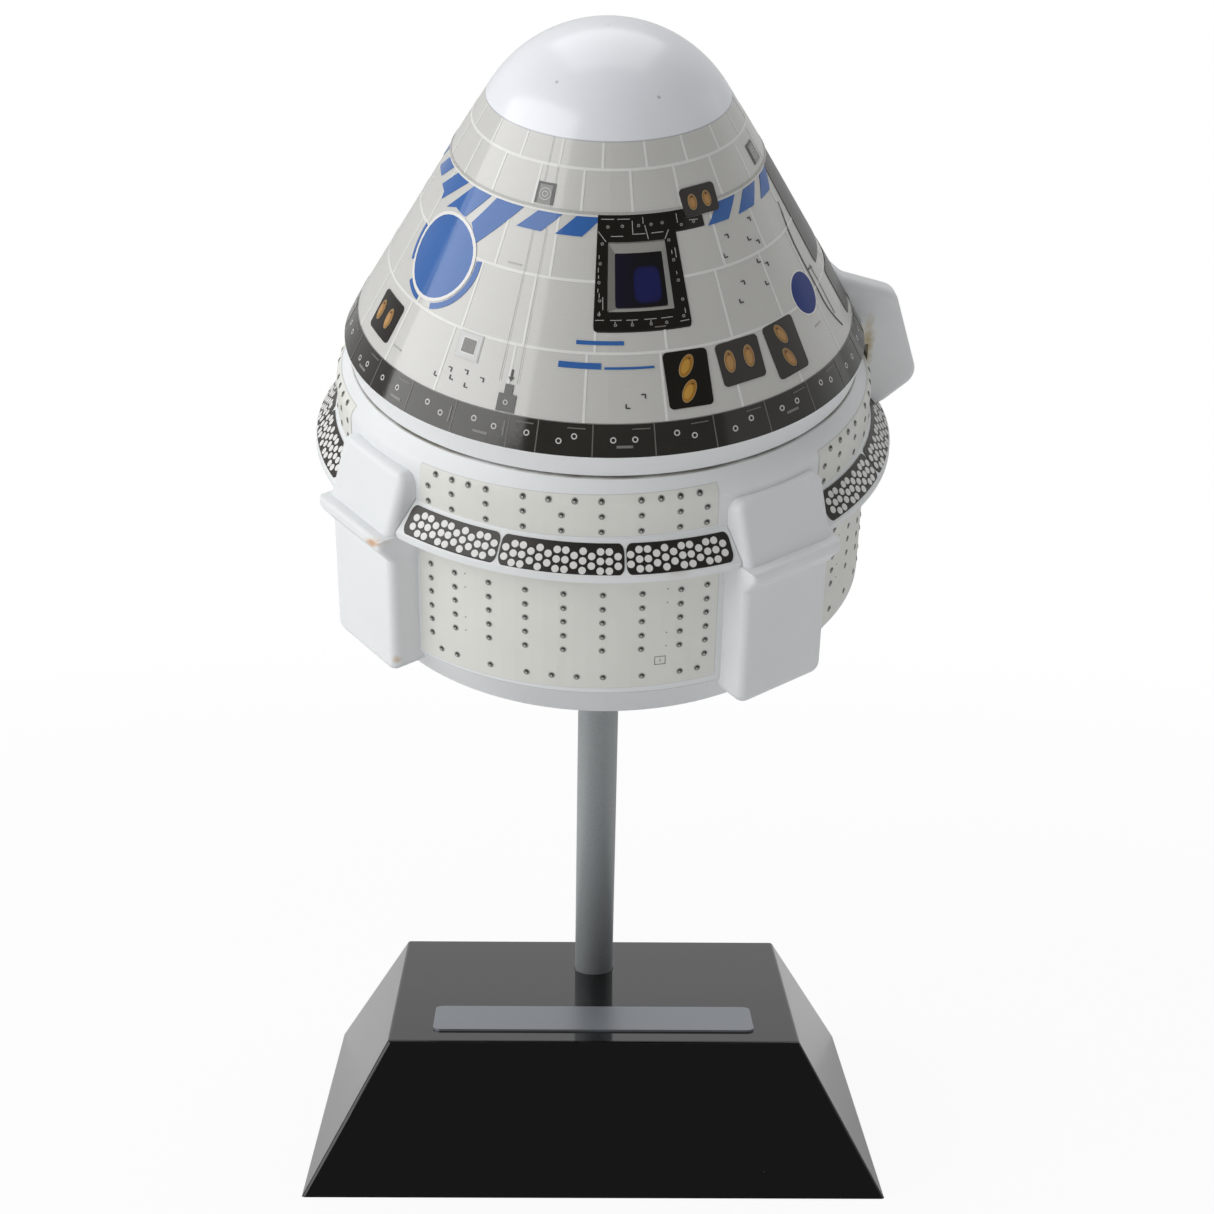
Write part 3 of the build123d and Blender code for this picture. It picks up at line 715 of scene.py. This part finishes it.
def flattened(outline):
    """The outline made lower by the roundel's flatness."""
    return [(x, y * ROUNDEL_FLATNESS) for x, y in outline]


def roundel(name, shapes, ink, layer):
    """Shapes of the roundel as one printed piece."""
    flat = [flattened(shape) for shape in shapes]
    printed(name, CONE, around(CONE, [ROUNDEL], *flat), ink, layer)


roundel("roundel", [oval(2 * ROUNDEL_RADIUS, sides=64)], ink_blue, 2)
roundel("roundel_ring", ring(ROUNDEL_RADIUS + RING_WIDTH / 2, RING_WIDTH), ink_white, 3)
roundel("roundel_arcs", [arc_band(*arc, 20) for arc in ARCS], ink_blue, 2)

# A small plain dark blue disc with a pale edge, and plain blue bars
SMALL_DISC = (63.6, 70.3)
SMALL_DISC_WIDTH = 7.6
SMALL_DISC_EDGE = 0.28
BLUE_BARS = ((-11.5, -1.2, 67.0, 67.9), (-0.4, 11.6, 67.0, 67.35), (-7.6, 4.4, 70.5, 71.1))
disc = around(CONE, [SMALL_DISC], oval(SMALL_DISC_WIDTH, sides=48))
disc_edge = around(CONE, [SMALL_DISC], *ring((SMALL_DISC_WIDTH + SMALL_DISC_EDGE) / 2, SMALL_DISC_EDGE))
printed("small_disc", CONE, disc, ink_deep_blue, 2)
printed("small_disc_edge", CONE, disc_edge, ink_pale, 2)
printed("blue_bars", CONE, [box(*edges) for edges in BLUE_BARS], ink_blue, 2)

# Amber thrusters on the black panels: azimuth, height, width, length and turn
ORANGES = ((19.4, 66.8, 2.0, 3.9, -31), (19.3, 63.1, 2.0, 3.9, -31))
AMBERS = (
    (30.8, 66.1, 1.85, 3.6, -2),
    (36.4, 66.1, 1.85, 3.6, -2),
    (48.1, 67.2, 1.8, 3.7, 26),
    (48.2, 63.5, 1.8, 3.7, 26),
    (-70.2, 64.4, 1.8, 3.6, 0),
    (-64.9, 64.4, 1.8, 3.6, 0),
)
RAISED_AMBERS = ((31.0, 89.85, 1.45, 2.5, 0), (37.1, 89.85, 1.45, 2.5, 0))
MOUTH_SIDES = 32
AMBER_RIM = 0.12
# The lighter middle is painted light, shifted a little left and down; the dark throat is painted shade
LIT_PART = 0.66
LIT_SHIFT = (0.06, 0.05)
THROAT_SIZE = 0.3
THROAT_RISE = 0.34


def amber_set(name, spots, inks, raised):
    """Amber thruster mouths with pale rims, lighter middles as painted light and a dark throat near their
    heads as painted shade.
    """
    rims, mouths, middles, throats = [], [], [], []
    for azimuth, height, width, length, turn in spots:
        rim = oval(width + 2 * AMBER_RIM, length + 2 * AMBER_RIM, turn, MOUTH_SIDES)
        mouth = oval(width, length, turn, MOUTH_SIDES)
        middle = oval(LIT_PART * width, LIT_PART * length)
        middle = [(x - LIT_SHIFT[0] * width, y - LIT_SHIFT[1] * length) for x, y in middle]
        throat = [(x, y + THROAT_RISE * length) for x, y in oval(THROAT_SIZE, sides=12)]
        shapes = rim, mouth, turned(middle, turn), turned(throat, turn)
        for outlines, shape in zip((rims, mouths, middles, throats), shapes):
            outlines.append(list(CONE.beside(azimuth, height, shape)))
    printed(name + "_rims", CONE, rims, ink_amber_rim, 1, raised)
    printed(name, CONE, mouths, inks[0], 2, raised)
    printed(name + "_middles", CONE, middles, inks[1], 3, raised)
    printed(name + "_throats", CONE, throats, ink_dark, 4, raised)


amber_set("orange_thrusters", ORANGES, (ink_orange, ink_orange_painted_light), INLAY)
amber_set("amber_thrusters", AMBERS, (ink_amber, ink_amber_painted_light), INLAY)
amber_set("raised_ambers", RAISED_AMBERS, (ink_amber, ink_amber_painted_light), STEP_DEPTH + INLAY)

# Rings and dashes on the window frame: azimuths and heights, or corners of lines
FRAME_RINGS = (
    (0.0, 87.5), (4.8, 87.6), (10.3, 87.6), (14.6, 87.65), (18.5, 87.7), (25.2, 87.0), (29.9, 87.1),
    (-1.7, 85.05), (-2.2, 82.2), (-2.4, 79.5), (-2.0, 76.9), (-2.1, 74.9),
    (19.9, 85.1), (20.5, 82.2), (20.9, 79.2), (21.3, 76.4), (20.8, 74.0),
    (2.3, 73.4), (6.7, 73.4), (11.7, 73.4), (15.9, 73.4),
)
FRAME_DASHES = (
    ((-2.3, 88.6), (2.0, 88.6)), ((3.2, 88.6), (7.4, 88.6)), ((1.0, 86.15), (4.9, 86.15)),
    ((14.4, 86.4), (18.4, 86.4)), ((8.2, 88.3), (8.2, 86.4)), ((8.2, 86.4), (12.3, 86.4)),
    ((11.9, 88.75), (11.9, 87.9)), ((12.4, 87.6), (13.2, 85.6)), ((24.0, 88.7), (24.0, 87.4)),
    ((28.4, 87.45), (31.6, 87.3)), ((-3.1, 86.8), (-0.6, 85.4)), ((20.3, 86.6), (18.7, 85.35)),
    ((-2.6, 83.4), (-2.6, 82.9)), ((-2.7, 81.6), (-2.7, 81.0)), ((-2.6, 80.5), (-2.5, 80.1)),
    ((-2.6, 78.6), (-2.6, 78.1)), ((-2.2, 77.9), (-2.2, 77.3)), ((-1.2, 77.4), (-1.1, 75.6)),
    ((-2.0, 75.3), (-2.0, 74.7)), ((-3.0, 74.05), (-0.8, 74.1)), ((20.3, 83.6), (20.3, 83.1)),
    ((21.5, 83.9), (21.5, 82.5)), ((20.8, 80.5), (20.8, 80.1)), ((21.5, 75.1), (21.5, 74.4)),
    ((19.7, 73.3), (22.1, 73.35)), ((0.9, 74.1), (3.9, 74.1)), ((5.2, 74.1), (8.2, 74.1)),
    ((10.0, 74.1), (13.2, 74.1)), ((14.6, 74.1), (17.7, 74.1)), ((2.2, 73.9), (2.2, 73.7)),
    ((6.7, 73.9), (6.7, 73.7)), ((11.7, 73.9), (11.7, 73.7)),
)
FRAME_LINE = 0.13
FRAME_PLATE = (12.6, 15.6, 72.8, 73.0)
frame_lines = [shape for ends in FRAME_DASHES for shape in stroke(CONE, ends, FRAME_LINE)]
frame_rings = around(CONE, FRAME_RINGS, *ring(0.2, 0.14))
printed("window_marks", CONE, frame_lines, ink_line, 1, INLAY)
printed("window_rings", CONE, frame_rings, ink_halo, 1, INLAY)
printed("window_plate", CONE, [box(*FRAME_PLATE)], ink_dim, 1, INLAY)

# Lit faces of the window's reveal, as painted light and shade: the top and foot lighter, the right side
# darker; azimuths and heights of its outer and inner corners
OUT_LEFT, OUT_RIGHT, IN_LEFT, IN_RIGHT = 0.2, 18.5, 2.3, 17.0
OUT_LOW, OUT_HIGH, IN_LOW, IN_HIGH = 75.3, 85.1, 75.7, 83.7
reveal_top = [(OUT_LEFT, OUT_HIGH), (OUT_RIGHT, OUT_HIGH), (IN_RIGHT, IN_HIGH), (IN_LEFT, IN_HIGH)]
reveal_side = [(OUT_RIGHT, OUT_HIGH), (OUT_RIGHT, OUT_LOW), (IN_RIGHT, IN_LOW), (IN_RIGHT, IN_HIGH)]
reveal_foot = [(OUT_LEFT, OUT_LOW), (OUT_RIGHT, OUT_LOW), (IN_RIGHT, IN_LOW), (IN_LEFT, IN_LOW)]
printed("reveal_top", CONE, [reveal_top, reveal_foot], ink_reveal_painted_light, 1, INLAY)
# The reveal's right side in a darker grey, painted shade
printed("reveal_side", CONE, [reveal_side], ink_halo, 1, INLAY)

# Small marks on the wrap
TICK = 0.2
TICK_LENGTH = 0.7
LOW_TICKS = (
    (-41.8, 61.6), (-37.3, 62.0), (-33.0, 61.6), (5.0, 61.7), (38.5, 81.1), (39.2, 74.1),
    (50.0, 82.1), (50.3, 78.5), (50.3, 75.0),
)
HIGH_TICKS = (
    (-38.5, 63.0), (-34.0, 63.4), (-29.5, 63.0), (8.5, 63.0), (41.0, 83.6), (41.5, 76.4),
    (53.0, 84.5), (53.0, 80.9), (53.0, 77.3),
)
ARROW = (-22.3, 64.9)
arrow_shapes = bar(0.42, 1.6), [(-0.55, -0.5), (0.0, -1.25), (0.55, -0.5)]


def corner(side):
    """Two short strokes that meet: side is -1 for a lower left corner and 1 for an upper right one."""
    shift = side * TICK_LENGTH / 2
    upright = [(x + shift, y) for x, y in bar(TICK, TICK_LENGTH)]
    level = [(x, y + shift) for x, y in bar(TICK_LENGTH, TICK)]
    return upright, level


corner_ticks = around(CONE, LOW_TICKS, *corner(-1)) + around(CONE, HIGH_TICKS, *corner(1))
corner_ticks += around(CONE, [ARROW], *arrow_shapes)
printed("corner_ticks", CONE, corner_ticks, ink_dark, 2)
small_bars = around(CONE, ((-28.6, 80.6), (-56.6, 61.9)), bar(2.6, 0.24))
small_bars += around(CONE, ((63.5, 65.0),), bar(2.4, 0.16))
printed("small_bars", CONE, small_bars, ink_line, 2)
# A grey sensor square on its pale field and frame, in layers
SQUARES = (
    ("sensor_square_edge", (-38.7, -31.7, 65.1, 69.2), ink_faint),
    ("sensor_square_field", (-38.4, -32.0, 65.3, 69.0), ink_soft),
    ("sensor_square_frame", (-37.3, -33.0, 65.95, 68.45), ink_pale),
    ("sensor_square", (-37.0, -33.3, 66.15, 68.25), ink_grey),
)
for number, (name, edges, ink) in enumerate(SQUARES):
    printed(name, CONE, [box(*edges)], ink, number + 2)
# A stack of two dark vents with a ring on the lower one
VENTS = ((-24.5, -20.2, 59.3, 61.95), (-23.3, -21.3, 61.9, 63.4))
VENT_RING = (-22.5, 60.7)
printed("vent_stack", CONE, [box(*edges) for edges in VENTS], ink_slate, 3)
printed("vent_ring", CONE, around(CONE, [VENT_RING], *ring(0.36, 0.17)), ink_ring, 4)
# Dark sensors with double rings on the forward wrap
for name, left, right, low, high in (
    ("forward_sensor_left", -27.1, -19.8, 89.95, 93.1),
    ("forward_sensor_right", 70.1, 77.6, 90.6, 93.8),
):
    middle = ((left + right) / 2, (low + high) / 2 - 0.1)
    field = box(left + 1.1, right - 1.1, low, high - 0.35)
    printed(name, FORWARD, [box(left, right, low, high)], ink_slate, 2)
    printed(name + "_field", FORWARD, [field], ink_halo, 3)
    rings = around(FORWARD, (middle,), *ring(0.98, 0.12), *ring(0.45, 0.14))
    printed(name + "_rings", FORWARD, rings, ink_soft, 4)

# The curved double line of a door edge, right of the thruster panels
DOOR_EDGE = (
    (74.2, 83.4), (73.2, 81.5), (71.7, 79.5), (71.0, 77.0), (71.0, 74.0), (71.3, 71.0),
    (71.6, 66.5), (72.1, 65.0), (73.5, 63.0), (75.2, 61.2),
)
DOOR_INNER = ((74.0, 72.4), (74.3, 70.0), (74.2, 66.0), (74.4, 63.6))
DOOR_CATCH = ((72.0, 72.2), (74.4, 71.9))
printed("door_edge", CONE, stroke(CONE, DOOR_EDGE, 0.34), ink_slate, 2)
printed("door_inner", CONE, stroke(CONE, DOOR_INNER, 0.16), ink_line, 2)
printed("door_catch", CONE, stroke(CONE, DOOR_CATCH, 0.3), ink_slate, 3)

# Tile band: thin seams, white rings and small bars; the pattern goes on round the back
TILE_PITCH = 13.0
SEEN_TILES = (-73.0, -60.1, -47.0, -34.0, -20.9, -14.4, -2.6, 10.5, 23.8, 37.0, 50.4)
BACK_TILES = tuple(63.4 + TILE_PITCH * number for number in range(17))
SEEN_RINGS = (
    (-69, 56.1), (-64.8, 56.5), (-57.2, 56.7), (-51.3, 56.85), (-41.5, 57.2), (-37.4, 56.45), (-29, 57.3),
    (-24.1, 56.9), (-16.7, 56.9), (-9.7, 56.3), (-6.5, 57.15), (1.7, 56.75), (6.3, 56.8), (15.3, 57.3),
    (19.1, 56.6), (28.5, 56.35), (32.8, 57.2), (41.3, 57.0), (46.0, 57.05), (55.2, 57.5), (59.0, 56.85),
)
SEEN_BARS = (-63.1, -50.0, -17.4, -6.1, 7.7, 20.6, 33.9, 47.5, 60.4)
SEEN_PLATES = ((-66.2, 55.35), (-50.7, 55.4), (-27.0, 55.55), (4.1, 55.75), (44.0, 56.0))
SLOTS = ((-34.95, 56.8), (-21.8, 56.9))
BAR_HEIGHT = 58.35
BAR_SHIFT = 10.2
RING_HEIGHT = 56.8
back_rings = [
    (azimuth + step, RING_HEIGHT + 0.3 * (number % 3 - 1))
    for number, azimuth in enumerate(BACK_TILES)
    for step in (4.0, 8.6)
]
half_seam = degrees(0.11 / RIM_RADIUS)
tile_lines = [
    box(azimuth - half_seam, azimuth + half_seam, BAND_FOOT + 0.1, BAND_TOP - 0.05)
    for azimuth in SEEN_TILES + BACK_TILES
]
tile_rings = around(BAND, (*SEEN_RINGS, *back_rings), *ring(0.42, 0.2))
bar_spots = [(azimuth, BAR_HEIGHT) for azimuth in SEEN_BARS]
bar_spots += [(azimuth + BAR_SHIFT, BAR_HEIGHT) for azimuth in BACK_TILES]
printed("tile_seams", BAND, tile_lines, ink_dim, 1)
printed("tile_rings", BAND, tile_rings, ink_ring, 1)
printed("tile_bars", BAND, around(BAND, bar_spots, bar(3.1, 0.2)), ink_dim, 1)
printed("tile_plates", BAND, around(BAND, SEEN_PLATES, bar(2.8, 0.45)), ink_grey, 1)
printed("tile_slots", BAND, around(BAND, SLOTS, bar(0.3, 2.6)), ink_grey, 2)
printed("band_top_line", BAND, [belt(BAND_TOP - 0.14, BAND_TOP)], ink_grey, 1)

# Cream panels with rivets on each quarter of the service module
QUARTER_TILT = 0.0136
UPPER_PANEL = (-32.2, 31.5, 39.5, 47.35)
LOWER_PANEL = (-33.0, 32.3, 8.0, 30.5)
EDGE_LINE = 0.12
UPPER_RIVETS = (
    (46.35, (-28.05, -24.0, -20.15, -16.2, -8.3, -3.05, 2.2, 7.5, 15.4, 19.4, 23.35, 27.4)),
    (43.6, (-30.05, -24.1, -16.2, -8.25, -0.4, 7.6, 15.5, 23.35, 29.0)),
    (40.55, (-30.05, -24.1, -16.2, -8.25, -0.4, 7.6, 15.5, 23.35, 29.0)),
)
LOWER_COLUMNS = (-29.8, -23.7, -15.75, -7.8, 0.15, 8.1, 16.1, 24.1, 29.7)
LOWER_RIVETS = (
    *((height, LOWER_COLUMNS) for height in (27.7, 24.75, 21.95, 19.0, 16.1)),
    (13.2, (-29.8, 29.7)),
    (10.4, (-27.4, -23.4, -15.5, -7.5, -2.2, 3.0, 8.4, 16.4, 24.4, 28.2)),
)
TINY_DOTS = [(azimuth, height) for azimuth in (-21.2, 21.3) for height in (28.2, 25.4, 19.1, 16.3)]


def on_quarters(spots):
    """Spots counted from a quarter's middle, on each quarter; they climb a little to the right."""
    for quarter in QUARTERS:
        for azimuth, height in spots:
            yield QUARTER_MIDDLE + quarter + azimuth, height + QUARTER_TILT * azimuth


def cream_patches(shrink):
    """The cream panels on each quarter, made smaller all round by some millimetres."""
    for quarter in QUARTERS:
        for left, right, low, high in (UPPER_PANEL, LOWER_PANEL):
            turn = degrees(shrink / BARREL_RADIUS)
            corners = box(left + turn, right - turn, low + shrink, high - shrink)
            yield [(QUARTER_MIDDLE + quarter + a, h + QUARTER_TILT * a) for a, h in corners]


printed("cream_panel_edges", BARREL, cream_patches(0), ink_soft, 1)
printed("cream_panels", BARREL, cream_patches(EDGE_LINE), ink_cream, 2)
rivet_rows = UPPER_RIVETS + LOWER_RIVETS
rivet_spots = [(azimuth, height) for height, azimuths in rivet_rows for azimuth in azimuths]
# Each rivet is a grey halo with a dark core; the small pale spot low on its left is a painted highlight
for name, across, along, size, ink, layer in (
    ("rivet_halos", 0.0, 0.0, 1.2, ink_halo, 3),
    ("rivet_cores", 0.03, 0.09, 0.7, ink_dark, 4),
    ("rivet_painted_highlights", -0.06, -0.09, 0.32, ink_faint, 5),
):
    shape = [(x + across, y + along) for x, y in oval(size, sides=14)]
    printed(name, BARREL, around(BARREL, on_quarters(rivet_spots), shape), ink, layer)
tiny_dots = around(BARREL, on_quarters(TINY_DOTS), oval(0.24, sides=8))
printed("tiny_dots", BARREL, tiny_dots, ink_grey, 3)
# The thin outline of a small hatch low on the front
HATCH = (12.1, 13.6)
HATCH_LINE = 0.1
hatch_bars = ([(x, y + side * 0.82) for x, y in bar(2.0, HATCH_LINE)] for side in (-1, 1))
hatch_posts = ([(x + side * 0.95, y) for x, y in bar(HATCH_LINE, 1.7)] for side in (-1, 1))
hatch = around(BARREL, [HATCH], *hatch_bars, *hatch_posts, bar(0.12, 0.7))
printed("hatch_outline", BARREL, hatch, ink_grey, 3)
printed("aft_edge_line", BARREL, [belt(7.1, 7.2)], ink_soft, 1)

# White dots of the perforated panels: which rows each column has, from the barrel outward
DOT_SIZE = 1.3
DOT_ROW_PITCH = 0.83
DOT_PITCHES = {-1: 1.62, 0: 1.67, 1: 1.67}
DOT_SHIFTS = {-1: 0.1, 0: 0.3, 1: 0.0}
DOT_COLUMNS = {
    -1: "even odd odd even odd odd even odd even odd odd even",
    0: "even odd odd even odd even odd odd even odd even odd odd even",
    1: "even odd odd even odd even odd odd even odd odd even",
}
DOT_STARTS = {-1: -31.2, 0: -10.9, 1: 13.2}
DOT_ROWS = {"even": (-1, 1), "odd": (-2, 0, 2)}
PANEL_RISE = 0.136


def dot_spots(middle):
    """Azimuth and height of each dot on one quarter's panels."""
    slope_rise = 1 / (1 + FLARE.slope(FLARE_TOP) ** 2) ** 0.5
    middle_height = FLARE_TOP + PANEL_MIDDLE / FLARE.slope(FLARE_TOP)
    for panel, columns in DOT_COLUMNS.items():
        for number, rows in enumerate(columns.split()):
            azimuth = middle + DOT_STARTS[panel] + number * DOT_PITCHES[panel]
            for row in DOT_ROWS[rows]:
                along = row * DOT_ROW_PITCH + DOT_SHIFTS[panel]
                yield azimuth, middle_height - along * slope_rise


for number, quarter in enumerate(QUARTERS):
    dots = around(FLARE, dot_spots(QUARTER_MIDDLE + quarter), oval(DOT_SIZE, sides=18))
    printed(f"flare_dots_{number + 1}", FLARE, dots, ink_white, 1, PANEL_RISE)

# Floor, backdrop light and lamps
FLOOR_RADIUS = 6.0
FLOOR_WHITENESS = 0.92
ROOM_FRONT, ROOM_BACK = 0.2, 0.6


def make_floor():
    """A plain pale floor that is whitest away from the plinth and keeps its shadow."""
    mesh = bmesh.new()
    bmesh.ops.create_circle(mesh, cap_ends=True, segments=96, radius=FLOOR_RADIUS)
    data = bpy.data.meshes.new("studio_floor")
    mesh.to_mesh(data)
    mesh.free()
    floor_object = linked("studio_floor", data)
    finish = Finish("studio_floor", (0.82, 0.82, 0.82), 0.9, Specular_IOR_Level=0.1)
    seen = finish.node("LightPath")
    glow = finish.node("Emission", None, {"Color": (1, 1, 1, 1), "Strength": 1.0})
    shader = Wire(finish, finish.shader.outputs[0])
    distance = finish.vector("LENGTH", finish.place(), (0, 0, 0), 1)
    whiteness = FLOOR_WHITENESS + finish.ramp(distance, 0.1, 0.7) * (1 - FLOOR_WHITENESS)
    mixed = finish.node("MixShader", None, {0: seen * whiteness, 1: shader, 2: glow})
    output = finish.tree.nodes["Material Output"]
    finish.tree.links.new(mixed.socket, output.inputs["Surface"])
    data.materials.append(finish.material)


def make_world():
    """White for the camera; for the light itself a white backdrop behind and a dim room in front."""
    world = bpy.data.worlds.new("studio")
    bpy.context.scene.world = world
    world.use_nodes = True
    nodes = Nodes(world.node_tree)
    background = nodes.tree.nodes["Background"]
    direction = nodes.node("TexCoord")
    depth = nodes.node("SeparateXYZ", None, {0: direction}, 1)
    room = ROOM_FRONT + nodes.ramp(depth, -0.15, 0.6) * (ROOM_BACK - ROOM_FRONT)
    camera_ray = nodes.node("LightPath")
    strength = camera_ray + (1 - camera_ray) * room
    nodes.feed(background.inputs["Strength"], strength)
    background.inputs["Color"].default_value = (1, 1, 1, 1)


def make_lamp(name, azimuth, elevation, distance, width, height, radiance):
    """A soft box that faces the capsule; azimuth 0 is towards the viewer and 90 to the right."""
    lamp = bpy.data.lights.new(name, "AREA")
    lamp.shape = "RECTANGLE"
    lamp.size, lamp.size_y = width, height
    lamp.energy = radiance * pi * width * height
    made = linked(name, lamp)
    turn, rise = radians(azimuth), radians(elevation)
    away = Vector((sin(turn) * cos(rise), -cos(turn) * cos(rise), sin(rise)))
    target = AFT + UP * (SEAM * MM)
    made.location = target + away * distance
    made.rotation_mode = "QUATERNION"
    made.rotation_quaternion = (-away).to_track_quat("-Z", "Y")


make_floor()
make_world()
make_lamp("soft_box_left", -64.5, 22, 0.9, 1.2, 0.6, 2.8)
make_lamp("soft_box_top", 180, 80, 0.9, 0.8, 0.8, 1.35)
make_lamp("soft_box_right", 84, 16, 1.1, 1.6, 0.9, 0.3)

# Camera at the photograph's place
LENS = 74.89
SENSOR = 36.0
CAMERA_PLACE = (-7.16, -515.07, 190.46)
CAMERA_TURN = (80.951, -0.573, -0.965)
camera_data = bpy.data.cameras.new("camera")
camera_data.lens = LENS
camera_data.sensor_width = SENSOR
camera_data.clip_start = 0.01
camera = linked("camera", camera_data)
camera.location = Vector(CAMERA_PLACE) * MM
camera.rotation_euler = [radians(angle) for angle in CAMERA_TURN]
bpy.context.scene.camera = camera
bpy.context.scene.view_settings.view_transform = "Standard"
